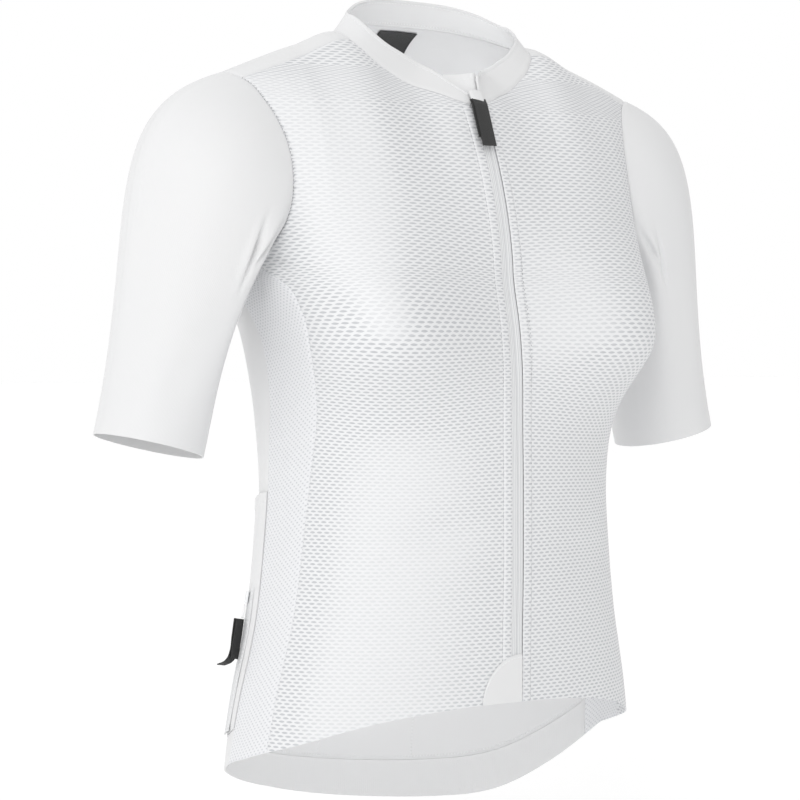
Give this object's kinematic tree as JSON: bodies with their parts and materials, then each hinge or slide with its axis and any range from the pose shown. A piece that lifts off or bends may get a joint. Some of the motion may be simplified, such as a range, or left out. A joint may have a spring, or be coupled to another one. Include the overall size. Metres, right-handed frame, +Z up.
{
  "type": "cycling jersey",
  "caption": "Short-sleeved cycling jersey in worn shape, hollow, with a full front zip, mesh fronts, low stand collar, drop tail and rear pockets.",
  "frame": {"origin": "middle of the neck base, level with the shoulder seams beside the neck, where the shoulders carry the garment", "axes": "+Z up along the body, -Y out of the front with the zip, +X to the wearer's left"},
  "size_m": [0.5668, 0.2218, 0.6341],
  "materials": {
    "front_mesh": "white open mesh knit, matte with a soft sheen",
    "side_mesh": "fine white mesh knit, matte",
    "smooth_jersey": "smooth white warp knit, soft sheen",
    "zip_tape": "white ribbed coil zip tape, satin",
    "black_tape": "black woven tape, satin",
    "white_cord": "white braided cord, matte",
    "white_slider": "white painted zip slider, semi-gloss"
  },
  "bodies": {
    "garment": {"front_right": "front_mesh", "front_left": "front_mesh", "side_right": "side_mesh", "side_left": "side_mesh", "back": "smooth_jersey", "hem_band": "smooth_jersey", "pocket_panel": "smooth_jersey", "sleeve_right": "smooth_jersey", "sleeve_left": "smooth_jersey", "collar": "smooth_jersey", "front_zip": "zip_tape", "zip_guard": "smooth_jersey", "zip_garage": "smooth_jersey", "front_slider": "white_slider", "foot_patch": "smooth_jersey", "neck_label": "black_tape", "side_zip": "zip_tape", "side_slider": "white_slider"},
    "front_pull": {"front_pull_tab": "black_tape"},
    "side_pull": {"side_cord_loop": "white_cord", "side_pull_tab": "black_tape"}
  },
  "joints": [
    {"name": "front_pull_hinge", "type": "hinge", "parent": "garment", "child": "front_pull", "pos_m": [0, -0.06388, -0.04965], "axis": [-1, 0, 0], "range_deg": [0, 120]},
    {"name": "side_pull_hinge", "type": "hinge", "parent": "garment", "child": "side_pull", "pos_m": [-0.14989, 0.02137, -0.38901], "axis": [0.3311, 0.9426, -0.0445], "range_deg": [0, 100]}
  ]
}
